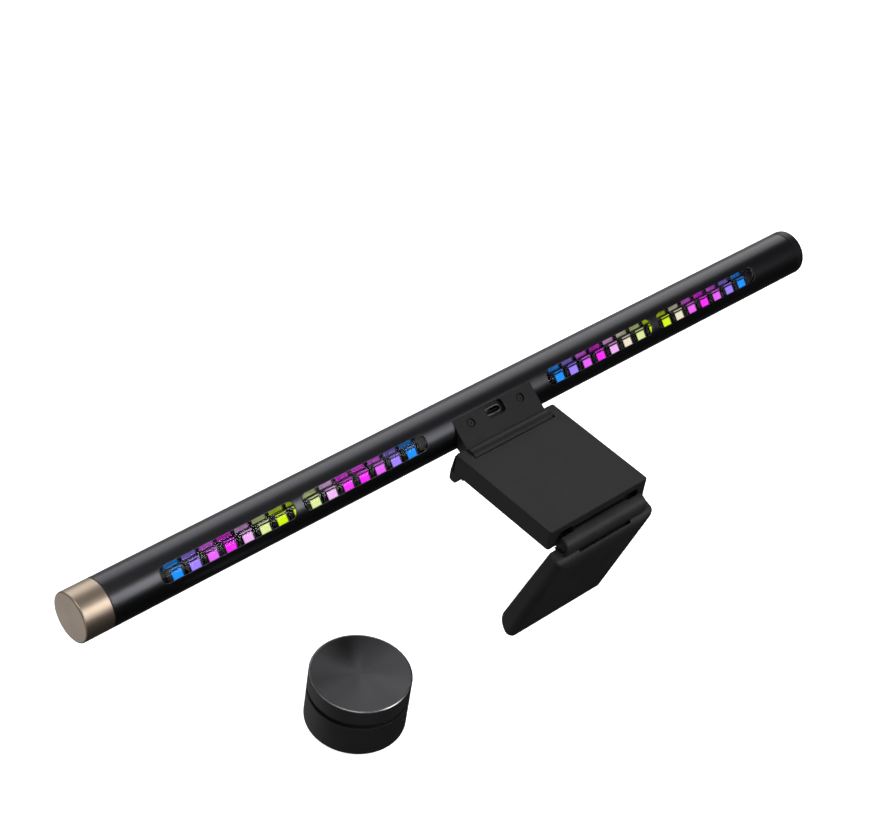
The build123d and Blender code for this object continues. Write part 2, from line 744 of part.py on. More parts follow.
def lug_sweep():
    """The wedge of the barrel that the lugs need as the leg swings."""
    reach = 1.6 * leg_barrel_radius
    under = 180 + degrees(asin(lug_radius * 0.75 / (lug_radius + lug_gap))) + 5
    over = 180 - leg_swing - 4
    points = [(leg_y, leg_z)]
    for i in range(5):
        turn = radians(over + (under - over) * i / 4)
        points.append((leg_y + reach * cos(turn), leg_z + reach * sin(turn)))
    return points


spring_outer = 3.1
spring_half = 6.0
spring_wire = 1.0


def torsion_spring():
    """The closed coil round the leg's pin, drawn as one sleeve with a groove between its turns."""
    bore = leg_pin_radius + 0.25
    turns = int(2 * spring_half / spring_wire)
    sleeve = rod_x(spring_outer, -spring_half, spring_half, leg_y, leg_z)
    for i in range(1, turns):
        x = -spring_half + i * spring_wire
        groove = Plane.YZ.offset(x) * Pos(leg_y, leg_z, 0) * Torus(spring_outer + 0.12, 0.3)
        sleeve -= groove
    return sleeve - rod_x(bore, -spring_half - 1, spring_half + 1, leg_y, leg_z)


leg_hollow_low = 12.4
leg_hollow_high = 57.0
leg_hollow_half = clamp_half - leg_round - 1.0
cover_thickness = 1.6


def leg_shell():
    body = leg_outer() - knuckle_region(2 * seat_gap)
    floor = leg_back - leg_wall
    front = leg_front(leg_hollow_high) - 4
    hollow = [(leg_hollow_low, front), (leg_hollow_low, floor)]
    hollow += [(leg_hollow_high, floor), (leg_hollow_high, front)]
    body -= leg_prism(hollow, leg_hollow_half)
    body -= knuckle_tongue(seat_gap)
    for x, along in leg_screw_places():
        deep = floor - leg_front(along) - cover_thickness - 0.1
        post = upright(2.0, deep) - Cylinder(0.75, 2 * deep + 2)
        body += leg_plane(along, floor) * Pos(x, 0, 0) * post
    return body


def leg_cover():
    gap = 2 * seat_gap
    low = leg_hollow_low + gap
    high = leg_hollow_high - gap
    outline = [(low, leg_front(low)), (high, leg_front(high))]
    outline += [(high, leg_front(high) + cover_thickness), (low, leg_front(low) + cover_thickness)]
    plate = leg_prism(outline, leg_hollow_half - gap)
    for x, along in leg_screw_places():
        place = leg_plane(along, leg_front(along)) * Pos(x, 0, 0)
        plate -= place * Cylinder(0.95, 8)
        plate -= place * Cylinder(1.8, 1.8)
    return plate


def leg_screws():
    screws = []
    for x, along in leg_screw_places():
        screws.append(screw(leg_plane(along, leg_front(along)), x, 0, -0.15, 1.6, 0.6, 0.75, 4.6))
    return screws


def leg_weight():
    low = leg_hollow_low + 8.0
    high = leg_hollow_high - 0.6
    floor = leg_back - leg_wall - 0.2
    slug_room = cover_thickness + 0.2
    outline = [(low, leg_front(low) + slug_room), (high, leg_front(high) + slug_room)]
    outline += [(high, floor), (low, floor)]
    return leg_prism(outline, leg_hollow_half - 0.5)


grip_low = 30.0
grip_high = 54.0
grip_thickness = 1.0


def leg_grip_pad():
    """The soft pad that presses on the monitor's back."""
    outline = [(grip_low, leg_front(grip_low) - 0.02), (grip_high, leg_front(grip_high) - 0.02)]
    outline.append((grip_high, leg_front(grip_high) - grip_thickness))
    outline.append((grip_low, leg_front(grip_low) - grip_thickness))
    return leg_prism(outline, leg_hollow_half - 2.5)


# ---- desk dial ----
foot_proud = 0.6
remote_groove_z = remote_base_height + remote_groove
dial_low = remote_groove_z
disc_low = remote_height - dial_disc_thickness
neck_radius = remote_radius - remote_neck_inset


def remote_ring(outer, inner, low, high):
    """A ring or disc on the dial's axis, heights from the desk."""
    ring = upright(outer, high - low)
    if inner > 0:
        ring -= Cylinder(inner, 2 * (high - low) + 2)
    return Pos(remote_x, remote_y, low - desk_drop) * ring


def remote_box(low, high):
    return Pos(remote_x, remote_y, -desk_drop) * block(low, high)


remote_post_radius = remote_radius - remote_wall - 3.4
remote_posts = []
for turn in (90, 210, 330):
    remote_posts.append((remote_post_radius * cos(radians(turn)), remote_post_radius * sin(radians(turn))))


def remote_housing():
    cup = remote_ring(remote_radius, 0, foot_proud, remote_base_height)
    cup = fillet(cup.edges().filter_by(GeomType.CIRCLE).group_by(Axis.Z)[0], 1.4)
    cup += remote_ring(neck_radius, 0, remote_base_height - 0.5, remote_groove_z - dial_travel - 0.3)
    cup -= remote_ring(remote_radius - remote_wall, 0, 0, remote_base_height - remote_wall)
    cup -= remote_ring(encoder_shaft_radius + 2.6, 0, remote_base_height - 4, remote_groove_z + 2)
    for x, y in remote_posts:
        post = upright(remote_post, remote_base_height - remote_wall - remote_post_low)
        post -= Cylinder(remote_post_bore, 8)
        cup += Pos(remote_x + x, remote_y + y, remote_post_low - desk_drop) * post
    return cup


def remote_cover():
    """The floor of the dial, which carries its rubber foot."""
    plate = remote_ring(remote_radius - remote_wall - 0.1, 0, foot_proud + 0.2, 3.2)
    plate -= remote_ring(remote_foot_radius + seat_gap, 0, 0, foot_proud + 1.0)
    for x, y in remote_posts:
        plate -= Pos(remote_x + x, remote_y + y, -desk_drop) * Cylinder(1.0, 20)
        plate -= Pos(remote_x + x, remote_y + y, -desk_drop) * Cylinder(1.8, 3.6)
    return plate


remote_foot_radius = remote_radius - remote_wall - 6.2


def remote_foot():
    return remote_ring(remote_foot_radius, 0, 0, foot_proud + 0.9)


def remote_screws():
    screws = []
    for x, y in remote_posts:
        origin = (remote_x + x, remote_y + y, 1.1 - desk_drop)
        place = Plane(origin=origin, x_dir=(1, 0, 0), z_dir=(0, 0, -1))
        screws.append(screw(place, 0, 0, 0, 1.6, 0.6, 0.75, 4.4))
    return screws


def remote_cell():
    """A round battery in the middle of the dial's base."""
    return remote_ring(10.0, 0, 3.9, 7.1)


def cell_contacts():
    """The spring plates above and below the battery."""
    return [remote_ring(6.0, 0, 3.3, 3.8), remote_ring(6.0, 0, 7.2, 7.6)]


def remote_board():
    """The round board that carries the encoder."""
    return remote_ring(remote_post_radius - 2.6, 0, 7.8, 8.8)


def encoder_body():
    """The rotary encoder with its push switch."""
    size = 6.0
    body = remote_box((-size, -size, 8.8), (size, size, 13.2))
    return body - remote_ring(encoder_shaft_radius + running_gap, 0, 10.0, 14.0)


def encoder_shaft():
    """The shaft that turns and presses; it carries the dial."""
    return remote_ring(encoder_shaft_radius, 0, 10.0 + dial_travel + 0.3, dial_low + 3.0)


def dial_hub():
    """The collar that grips the shaft under the dial."""
    outer = encoder_shaft_radius + hub_wall
    collar = remote_ring(outer, encoder_shaft_radius + running_gap, dial_low + 0.2, dial_low + hub_height)
    return collar + remote_ring(outer, 0, dial_low + hub_height - 1.4, dial_low + hub_height)


def dial_ring():
    """The turned cup whose side is gripped."""
    cup = remote_ring(remote_radius, 0, dial_low, remote_height - 0.35)
    cup = fillet(cup.edges().filter_by(GeomType.CIRCLE).group_by(Axis.Z)[0], 0.4)
    cup -= remote_ring(remote_radius - dial_rim, 0, disc_low - dial_disc_seat, remote_height + 1)
    cup -= remote_ring(remote_radius - dial_wall, 0, dial_low - 1, disc_low - dial_web)
    hub_room = encoder_shaft_radius + hub_wall + seat_gap
    cup -= remote_ring(hub_room, 0, dial_low - 1, dial_low + hub_height + seat_gap)
    return cup


def dial_disc():
    """The spun disc on top, with a bright turned edge."""
    return remote_ring(remote_radius - dial_rim - seat_gap, 0, disc_low, remote_height)


def main():
    save("lamp_tube", lamp_tube())
    save("end_cap_gold", end_cap(1, gold_cap_length))
    save("end_cap_black", end_cap(-1, black_cap_length))
    save("cap_seals", cap_seals())
    save("window_lenses", window_lenses())
    save("front_diffuser", front_diffuser())
    save("white_led_board", white_led_board())
    save("white_leds", white_leds())
    for name, side in sides.items():
        save(f"rgb_board_{name}", rgb_board(side))
        save(f"rgb_leds_{name}", rgb_leds(side))
        save(f"rgb_reflector_{name}", rgb_reflector(side))
        save(f"board_carrier_{name}", board_carrier(side))
    save("control_board", control_board())
    save("control_chips", control_chips())
    save("radio_module", radio_module())
    save("board_links", board_links())
    save("usb_c_shell", usb_c_shell())
    save("usb_c_tongue", usb_c_tongue())
    save("mount_block", mount_block())
    save("block_screws", block_screws())
    save("screw_anchors", screw_anchors())
    save("clamp_cover", clamp_cover())
    save("clamp_base", clamp_base())
    save("rest_pad", pad_body(0))
    save("clamp_screws", clamp_screws())
    save("ballast_weight", ballast_weight())
    save("front_hook", front_hook())
    save("hook_pad", hook_pad())
    save("tilt_pin", tilt_pin())
    save("tilt_washers", tilt_washers())
    save("leg_pin", leg_pin())
    save("leg_knuckle", leg_knuckle())
    save("torsion_spring", torsion_spring())
    save("leg_shell", leg_shell())
    save("leg_cover", leg_cover())
    save("leg_screws", leg_screws())
    save("leg_weight", leg_weight())
    save("leg_grip_pad", leg_grip_pad())
    save("remote_housing", remote_housing())
    save("remote_cover", remote_cover())
    save("remote_foot", remote_foot())
    save("remote_screws", remote_screws())
    save("remote_cell", remote_cell())
    save("cell_contacts", cell_contacts())
    save("remote_board", remote_board())
    save("encoder_body", encoder_body())
    save("encoder_shaft", encoder_shaft())
    save("dial_hub", dial_hub())
    save("dial_ring", dial_ring())
    save("dial_disc", dial_disc())


main()
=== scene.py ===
from math import cos, pi, radians, sin

import bmesh
import bpy
from mathutils import Matrix, Vector


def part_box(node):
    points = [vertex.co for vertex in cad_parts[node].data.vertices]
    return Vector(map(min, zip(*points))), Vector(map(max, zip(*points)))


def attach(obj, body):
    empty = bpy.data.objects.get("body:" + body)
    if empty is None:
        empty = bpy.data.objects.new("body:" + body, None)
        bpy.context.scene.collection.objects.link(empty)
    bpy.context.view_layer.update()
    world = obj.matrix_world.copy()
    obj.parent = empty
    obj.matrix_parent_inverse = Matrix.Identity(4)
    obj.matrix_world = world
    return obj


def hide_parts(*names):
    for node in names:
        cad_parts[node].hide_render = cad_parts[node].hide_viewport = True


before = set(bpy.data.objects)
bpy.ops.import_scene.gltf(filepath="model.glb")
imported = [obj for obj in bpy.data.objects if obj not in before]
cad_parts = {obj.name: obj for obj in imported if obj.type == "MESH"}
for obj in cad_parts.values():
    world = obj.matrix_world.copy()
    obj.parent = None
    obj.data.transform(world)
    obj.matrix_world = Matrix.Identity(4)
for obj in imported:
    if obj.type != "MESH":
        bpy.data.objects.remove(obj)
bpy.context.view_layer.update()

MM = 0.001


def middle(node):
    """The middle of a CAD node's box."""
    low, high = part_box(node)
    return Vector([(a + b) / 2 for a, b in zip(low, high)])


# ---- places on the CAD part that the looks follow, in metres ----
WINDOW_ANGLE = radians(42)
LED_LENGTH = 5.0 * MM
LED_HEIGHT = 3.6 * MM
LED_FACE = 8.7 * MM         # from the tube's axis
LED_LOW = 2.2 * MM          # the row's middle below the window's middle
CELL_COUNT = 15
led_low, led_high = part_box("rgb_leds_left")
CELL_PITCH = (led_high[0] - led_low[0] - LED_LENGTH) / (CELL_COUNT - 1)
TUBE_Y, TUBE_Z = middle("lamp_tube").yz
TUBE_MIDDLE = (middle("rgb_leds_left").x + middle("rgb_leds_right").x) / 2
STRIP_MIDDLE = middle("rgb_leds_left").x - TUBE_MIDDLE
DIAL = middle("dial_disc").xy
DESK_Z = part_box("remote_foot")[0][2]

# ---- sizes of the pieces made here, in metres ----
BEZEL = 0.3 * MM            # the bar of the frame round an LED
SPRING_WIRE = 1.0 * MM      # the room one turn of the spring takes
WIRE_RADIUS = SPRING_WIRE * 0.48
TURN_STEPS = 28             # points in one turn of the spring
WIRE_SIDES = 10
DIAL_STEPS = 120            # steps of the dial's bevel round the dial
# corners of the dial's bevel: how far in from the ring's side, how far up from its top
DIAL_BEVEL = [(0.68 * MM, -0.02 * MM), (0.2 * MM, -0.02 * MM), (0.6 * MM, 0.26 * MM)]
WELD = 0.001 * MM           # points nearer than this become one

# ---- where the lit LED faces and the painted glow on the reflectors fade, in metres: each pair is one end of the fade, then the other ----
LED_RIM_ALONG = (2.0 * MM, 2.5 * MM)
LED_RIM_ACROSS = (1.3 * MM, 1.8 * MM)
LED_FRONT = (LED_FACE - 0.12 * MM, LED_FACE - 0.04 * MM)
TROUGH_ALONG = (4.0 * MM, 3.1 * MM)
TROUGH_BOTTOM = (0.95 * MM, 1.35 * MM)
TROUGH_TOP = (4.3 * MM, 3.4 * MM)
TROUGH_DEPTH = (7.2 * MM, 6.4 * MM)
RIDGE_DEPTH = (8.6 * MM, 8.8 * MM)
RIDGE_TOP = (0.9 * MM, 0.5 * MM)
RIDGE_ALONG = (2.9 * MM, 2.4 * MM)
RIDGE_GLOW = 0.75

# ---- the stage, in metres ----
FLOOR_HALF = 3.0
FLOOR_GAP = 0.02 * MM       # the floor below the dial's foot
FLOOR_GLOW = 0.8
BACKDROP_RADIUS = 4.0
SKY_BASE = 0.03
# axis, where the sky starts to brighten along it, where it is brightest, and by how much
SKY_RISES = (("Y", -0.2, -0.65, 0.3), ("Z", 0.55, 0.95, 0.2), ("X", 0.15, 0.6, 0.25))
LENS = 89.36                # millimetres, as Blender wants it
SENSOR_WIDTH = 36.0
CAMERA_PLACE = (557.4 * MM, 428.1 * MM, 627.2 * MM)
CAMERA_HEADING, CAMERA_TILT, CAMERA_ROLL = radians(-138.289), radians(40.587), radians(9.200)

# colours of one window pair, from the metal-coloured cap's end inwards
LEFT_COLOURS = [
    "0a90ff", "a080ff", "e860f8", "ff20ff", "f0b0f0", "dcec98", "d0f000",
    "c8f000", "dcec98", "f0b8f0", "ff30ff", "ff20ff", "e860f8", "a080ff", "0a90ff",
]
RIGHT_COLOURS = [
    "0a90ff", "a080ff", "e860f8", "ff20ff", "f0b0f0", "ece4c4", "dcec98",
    "d0f000", "d8f400", "ece4c4", "f060f0", "ff20ff", "e860f8", "a080ff", "0a90ff",
]


def linear(text, share=1.0):
    """A hex colour as linear RGBA, times a share."""
    values = [int(text[i:i + 2], 16) / 255 for i in (0, 2, 4)]
    values = [v / 12.92 if v <= 0.04045 else ((v + 0.055) / 1.055) ** 2.4 for v in values]
    return (*[v * share for v in values], 1.0)


# ---- node helpers ----
class Material:
    """A material's tree, with a short way to add and join nodes."""

    def __init__(self, name):
        self.material = bpy.data.materials.new(name)
        self.material.use_nodes = True
        self.tree = self.material.node_tree
        self.shader = self.tree.nodes["Principled BSDF"]

    def add(self, kind, inputs=None, **settings):
        """Add a node; inputs maps a socket's name or number to a value or another node's output."""
        node = self.tree.nodes.new(kind)
        for key, value in settings.items():
            setattr(node, key, value)
        for key, value in (inputs or {}).items():
            self.put(node, key, value)
        return node

    def put(self, node, key, value):
        """Set one socket, or join it to another node's output."""
        if isinstance(value, bpy.types.NodeSocket):
            self.tree.links.new(value, node.inputs[key])
        else:
            node.inputs[key].default_value = value

    def set(self, **values):
        """Set or join sockets of the main shader; an underscore stands for a space."""
        for key, value in values.items():
            self.put(self.shader, key.replace("_", " "), value)

    def math(self, operation, a, b=0.0):
        return self.add("ShaderNodeMath", {0: a, 1: b}, operation=operation).outputs[0]

    def spread(self, value, low, high, out_low=0.0, out_high=1.0):
        """Map a range onto another, clamped."""
        sockets = {"Value": value, "From Min": low, "From Max": high, "To Min": out_low, "To Max": out_high}
        return self.add("ShaderNodeMapRange", sockets).outputs["Result"]

    def mix(self, factor, a, b):
        """Colour a where the factor is 0, b where it is 1."""
        node = self.add("ShaderNodeMix", {0: factor}, data_type="RGBA")
        self.put(node, 6, a)
        self.put(node, 7, b)
        return node.outputs[2]

    def place(self, scale=(1, 1, 1), shift=(0, 0, 0)):
        """Object coordinates, moved back by a shift and then stretched."""
        spot = self.add("ShaderNodeTexCoord").outputs["Object"]
        moved = self.add("ShaderNodeVectorMath", {0: spot, 1: shift}, operation="SUBTRACT").outputs[0]
        return self.add("ShaderNodeVectorMath", {0: moved, 1: scale}, operation="MULTIPLY").outputs[0]

    def noise(self, vector, scale, detail=2.0, rough=0.5):
        sockets = {"Vector": vector, "Scale": scale, "Detail": detail, "Roughness": rough}
        return self.add("ShaderNodeTexNoise", sockets).outputs["Fac"]

    def bump(self, height, distance, strength=1.0, under=None):
        sockets = {"Height": height, "Distance": distance, "Strength": strength}
        if under is not None:
            sockets["Normal"] = under
        return self.add("ShaderNodeBump", sockets).outputs["Normal"]

    def edges(self, radius):
        """1 along the sharp edges, 0 on the flats; and the softened normal."""
        soft = self.add("ShaderNodeBevel", {"Radius": radius}, samples=4).outputs["Normal"]
        flat = self.add("ShaderNodeNewGeometry").outputs["Normal"]
        match = self.add("ShaderNodeVectorMath", {0: soft, 1: flat}, operation="DOT_PRODUCT").outputs["Value"]
        return self.spread(match, 0.995, 0.86), soft


def moulded(name, colour, rough, grain, depth, edge_light=1.9, gloss=0.18):
    """Moulded plastic: a fine spark-eroded grain, faint mottling, a painted highlight on the sharp edges and
    painted shade in the crevices.
    """
    m = Material(name)
    spot = m.place()
    cloud = m.noise(spot, 1 / (14 * MM), 3.0)
    fine = m.noise(spot, 1 / grain, 2.0, 0.6)
    pores = m.noise(spot, 0.45 / grain, 1.0)
    edge, soft = m.edges(0.35 * MM)
    dark = m.mix(m.spread(cloud, 0.35, 0.65), linear(colour, 0.86), linear(colour, 1.14))
    # painted highlight: the sharp edges turn lighter, edge_light times the colour, broken up by the pores
    edge_highlight = m.math("MULTIPLY", edge, m.spread(pores, 0.3, 0.7, 0.35, 1.0))
    # painted shade: where ambient occlusion finds surfaces close by, the colour goes towards black
    open_sky = m.add("ShaderNodeAmbientOcclusion", {"Distance": 2.2 * MM}, samples=6).outputs["AO"]
    crevice_shade = m.mix(m.spread(open_sky, 0.4, 0.85), linear("020202"), dark)
    m.set(Base_Color=m.mix(edge_highlight, crevice_shade, linear(colour, edge_light)))
    speck = m.math("ADD", m.math("MULTIPLY", fine, 0.14), m.math("MULTIPLY", cloud, 0.06))
    m.set(Roughness=m.math("ADD", speck, rough - 0.1), Normal=m.bump(fine, depth, 1.0, soft))
    m.set(Specular_IOR_Level=gloss)
    return m.material


def drawn_metal(name, colour, rough, streak_colour, line_depth=0.006 * MM):
    """Anodised tube: drawn along X, so its faint lines are long in X and fine across."""
    m = Material(name)
    lines = m.noise(m.place((6, 1, 1)), 0.5 / (0.16 * MM), 3.0, 0.6)
    cloud = m.noise(m.place((0.5, 1, 1)), 1 / (22 * MM), 2.0)
    fine = m.noise(m.place(), 1 / (0.12 * MM), 2.0)
    edge, soft = m.edges(0.2 * MM)
    base = m.mix(m.spread(lines, 0.3, 0.7), linear(colour), linear(streak_colour))
    # painted highlight: the sharp edges take three times the streak colour
    m.set(Base_Color=m.mix(edge, base, linear(streak_colour, 3.0)), Metallic=1.0)
    m.set(Roughness=m.math("ADD", m.math("MULTIPLY", cloud, 0.08), rough - 0.04))
    m.set(Normal=m.bump(fine, line_depth, 0.7, soft))
    return m.material


def turned_metal(name, colour, rough, axis, centre, pitch, light=1.5, skew=0.55):
    """Metal turned on a lathe: rings round the axis on the flat face, and highlights that fan out."""
    m = Material(name)
    flat_axes = {"X": (0, 1, 1), "Z": (1, 1, 0)}[axis]
    away = m.place(flat_axes, centre)
    radius = m.add("ShaderNodeVectorMath", {0: away}, operation="LENGTH").outputs["Value"]
    ring_inputs = {"W": radius, "Scale": 1 / pitch, "Detail": 2.0}
    rings = m.add("ShaderNodeTexNoise", ring_inputs, noise_dimensions="1D").outputs["Fac"]
    broad_inputs = {"W": radius, "Scale": 0.16 / pitch, "Detail": 1.0}
    broad = m.add("ShaderNodeTexNoise", broad_inputs, noise_dimensions="1D").outputs["Fac"]
    fine = m.noise(m.place(), 1 / (0.1 * MM), 2.0)
    edge, soft = m.edges(0.22 * MM)
    shade = m.spread(rings, 0.3, 0.7)
    base = m.mix(shade, linear(colour, 0.9), linear(colour, 1.12))
    # painted highlight: the sharp edges take the colour times light
    m.set(Base_Color=m.mix(edge, base, linear(colour, light)), Metallic=1.0)
    m.set(Roughness=m.math("ADD", m.math("MULTIPLY", broad, 0.04), rough - 0.02))
    tangent = m.add("ShaderNodeTangent", direction_type="RADIAL", axis=axis).outputs[0]
    m.set(Anisotropic=skew, Tangent=tangent)
    low = m.bump(rings, 0.004 * MM, 0.8, soft)
    m.set(Normal=m.bump(fine, 0.002 * MM, 0.5, low))
    return m.material


def bright_steel(name, colour, rough):
    """Ground or plated steel of pins, screws and shells."""
    m = Material(name)
    spot = m.place()
    scratches = m.noise(m.place((1, 14, 14)), 1 / (2.4 * MM), 4.0, 0.7)
    stain = m.noise(spot, 1 / (5 * MM), 3.0)
    edge, soft = m.edges(0.12 * MM)
    base = m.mix(m.spread(stain, 0.35, 0.7), linear(colour, 0.85), linear(colour, 1.1))
    # painted highlight: the sharp edges take one and a half times the colour
    m.set(Base_Color=m.mix(edge, base, linear(colour, 1.5)), Metallic=1.0)
    m.set(Roughness=m.math("ADD", m.math("MULTIPLY", scratches, 0.2), rough - 0.1))
    m.set(Normal=m.bump(scratches, 0.003 * MM, 0.6, soft))
    return m.material


def soft_rubber(name, colour):
    """Silicone pads: dull, with a fine pebble and a little dust."""
    m = Material(name)
    spot = m.place()
    sockets = {"Vector": spot, "Scale": 1 / (0.7 * MM)}
    pebble = m.add("ShaderNodeTexVoronoi", sockets, feature="SMOOTH_F1").outputs["Distance"]
    dust = m.noise(spot, 1 / (3 * MM), 5.0, 0.7)
    m.set(Base_Color=m.mix(m.spread(dust, 0.5, 0.8, 0.0, 0.5), linear(colour), linear("4a4947")))
    m.set(Roughness=m.spread(dust, 0.3, 0.7, 0.7, 0.9), Specular_IOR_Level=0.25)
    m.set(Normal=m.bump(pebble, 0.05 * MM, 0.8))
    return m.material


def circuit_board(name, colour, copper):
    """A lacquered board: the weave shows faintly, and copper runs under the lacquer."""
    m = Material(name)
    spot = m.place()
    tracks = m.add("ShaderNodeTexBrick", {"Vector": spot, "Scale": 1 / (3.2 * MM), "Mortar Size": 0.05})
    weave = m.add("ShaderNodeTexChecker", {"Vector": spot, "Scale": 1 / (0.35 * MM)}).outputs["Fac"]
    base = m.mix(tracks.outputs["Fac"], linear(colour), linear(copper))
    m.set(Base_Color=base, Roughness=m.spread(m.noise(spot, 1 / (2 * MM)), 0.3, 0.7, 0.28, 0.45))
    m.set(Normal=m.bump(weave, 0.006 * MM, 0.4, m.bump(tracks.outputs["Fac"], 0.03 * MM, 0.6)))
    return m.material


def strip_place(m):
    """Where a point of a colour strip is: x, height above the window's middle, distance out."""
    spot = m.place((1, 1, 1), (0, TUBE_Y, TUBE_Z))
    up = (0, -sin(WINDOW_ANGLE), cos(WINDOW_ANGLE))
    out = (0, cos(WINDOW_ANGLE), sin(WINDOW_ANGLE))
    x = m.add("ShaderNodeSeparateXYZ", {0: spot}).outputs["X"]
    height = m.add("ShaderNodeVectorMath", {0: spot, 1: up}, operation="DOT_PRODUCT").outputs["Value"]
    depth = m.add("ShaderNodeVectorMath", {0: spot, 1: out}, operation="DOT_PRODUCT").outputs["Value"]
    return x, height, depth


def cell_colours(m, x, side, colours):
    """The colour of the cell at x, and how far x is from the cell's middle, in metres."""
    high_end = TUBE_MIDDLE + side * STRIP_MIDDLE + CELL_COUNT * CELL_PITCH / 2
    along = m.math("DIVIDE", m.math("SUBTRACT", high_end, x), CELL_COUNT * CELL_PITCH)
    ramp = m.add("ShaderNodeValToRGB", {0: along})
    ramp.color_ramp.interpolation = "CONSTANT"
    steps = ramp.color_ramp.elements
    for i, colour in enumerate(colours):
        step = steps[i] if i < 2 else steps.new(i / CELL_COUNT)
        step.position = i / CELL_COUNT
        step.color = linear(colour)
    cell = m.math("MULTIPLY", along, CELL_COUNT)
    off = m.math("ABSOLUTE", m.math("SUBTRACT", m.math("FRACT", cell), 0.5))
    return ramp.outputs["Color"], m.math("MULTIPLY", off, CELL_PITCH)


def colour_led(name, side, colours):
    """A lit LED: even in the middle of its face, a little deeper at the rim."""
    m = Material(name)
    x, height, depth = strip_place(m)
    colour, off = cell_colours(m, x, side, colours)
    low = m.math("ABSOLUTE", m.math("ADD", height, LED_LOW))     # from the LED's middle
    rim = m.math("MAXIMUM", m.spread(off, *LED_RIM_ALONG), m.spread(low, *LED_RIM_ACROSS))
    face = m.spread(depth, *LED_FRONT)
    glow = m.math("MULTIPLY", face, m.spread(rim, 0.0, 1.0, 1.15, 0.5))
    m.set(Base_Color=linear("060606"), Roughness=0.5, Specular_IOR_Level=0.05)
    m.set(Emission_Color=colour, Emission_Strength=glow)
    return m.material


def lit_reflector(name, side, colours):
    """Black plastic whose trough and divider glow with painted light in the colour of the cell beside them."""
    m = Material(name)
    x, height, depth = strip_place(m)
    colour, off = cell_colours(m, x, side, colours)
    grain = m.noise(m.place(), 1 / (0.25 * MM), 2.0)
    cloud = m.noise(m.place((0.3, 1, 1)), 1 / (2.5 * MM), 2.0)
    cell = m.spread(off, *TROUGH_ALONG)
    inside = m.math("MULTIPLY", m.spread(height, *TROUGH_BOTTOM), m.spread(height, *TROUGH_TOP))
    trough = m.math("MULTIPLY", inside, m.spread(depth, *TROUGH_DEPTH))
    painted_trough_glow = m.math("MULTIPLY", m.math("MULTIPLY", trough, cell), m.spread(cloud, 0.3, 0.7, 0.22, 0.5))
    ridge = m.math("MULTIPLY", m.spread(depth, *RIDGE_DEPTH), m.spread(height, *RIDGE_TOP))
    painted_ridge_glow = m.math("MULTIPLY", m.math("MULTIPLY", ridge, m.spread(off, *RIDGE_ALONG)), RIDGE_GLOW)
    m.set(Base_Color=linear("0c0c0d"), Roughness=m.spread(grain, 0.3, 0.7, 0.4, 0.6))
    # painted light: the trough and the divider's ridge glow as emission in the cell's colour, though they are
    # no lamp
    m.set(Emission_Color=colour, Emission_Strength=m.math("ADD", painted_trough_glow, painted_ridge_glow))
    m.set(Normal=m.bump(grain, 0.01 * MM, 0.6), Specular_IOR_Level=0.06)
    return m.material


def clear_cover(name):
    """Clear acrylic, polished and coated against glare, with the faintest flow lines."""
    m = Material(name)
    flow = m.noise(m.place((0.15, 1, 1)), 1 / (3 * MM), 2.0)
    m.set(Base_Color=linear("f4f4f8"), Transmission_Weight=1.0, IOR=1.49)
    m.set(Specular_IOR_Level=0.15, Specular_Tint=linear("303030"))
    m.set(Roughness=m.spread(flow, 0.3, 0.7, 0.0, 0.03))
    m.set(Normal=m.bump(flow, 0.004 * MM, 0.3))
    return m.material


def frosted_cover(name):
    """Frosted polycarbonate over the white lights."""
    m = Material(name)
    frost = m.noise(m.place(), 1 / (0.2 * MM), 3.0, 0.7)
    m.set(Base_Color=linear("e9e8e2"), Roughness=m.spread(frost, 0.3, 0.7, 0.45, 0.6))
    m.set(Subsurface_Weight=0.4, Subsurface_Scale=1.5 * MM, Normal=m.bump(frost, 0.008 * MM, 0.6))
    return m.material


# ---- finishes ----
tube_centre = (0, TUBE_Y, TUBE_Z)
dial_centre = (DIAL[0], DIAL[1], 0)
clamp_plastic = moulded(
    "fine-grained black plastic of the clamp", "181818", rough=0.62, grain=0.28 * MM, depth=0.02 * MM)
leg_plastic = moulded(
    "fine-grained black plastic of the leg", "1a1a1a", rough=0.6, grain=0.28 * MM, depth=0.02 * MM)
bracket_plastic = moulded(
    "smooth black plastic of the bracket", "131313", rough=0.5, grain=0.2 * MM, depth=0.01 * MM, edge_light=1.7)
knuckle_plastic = moulded(
    "smooth black plastic of the knuckle", "202020", rough=0.5, grain=0.2 * MM, depth=0.01 * MM, edge_light=2.4)
cap_plastic = moulded(
    "satin black plastic of the end cap", "101011", rough=0.4, grain=0.2 * MM, depth=0.006 * MM, edge_light=1.6)
dial_plastic = moulded(
    "matt black plastic of the dial's base", "1a1a1a", rough=0.5, grain=0.25 * MM, depth=0.012 * MM,
    edge_light=1.6)
inner_plastic = moulded(
    "black nylon inside the lamp", "080808", rough=0.65, grain=0.3 * MM, depth=0.01 * MM, edge_light=1.1,
    gloss=0.08)
tube_metal = drawn_metal("satin black anodised tube", "363638", rough=0.32, streak_colour="3d3d41")
gold_metal = turned_metal(
    "champagne anodised cap", "8f8173", rough=0.36, axis="X", centre=tube_centre, pitch=0.22 * MM,
    light=1.5, skew=0.45)
dial_top = turned_metal(
    "spun black anodised disc", "4a4a4c", rough=0.3, axis="Z", centre=dial_centre, pitch=0.18 * MM,
    light=3.2, skew=0.85)
dial_side = moulded(
    "bead-blasted black anodised ring", "1e1e1e", rough=0.5, grain=0.2 * MM, depth=0.008 * MM, edge_light=1.4)
rim_metal = bright_steel("diamond-cut aluminium edge", "8e8e90", rough=0.28)
steel = bright_steel("ground steel", "b4b4b8", rough=0.3)
black_steel = bright_steel("black oxide steel", "2c2c2c", rough=0.4)
nickel = bright_steel("nickel plate", "b9b4ab", rough=0.25)
socket_plate = bright_steel("dulled nickel of the socket", "6c6964", rough=0.35)
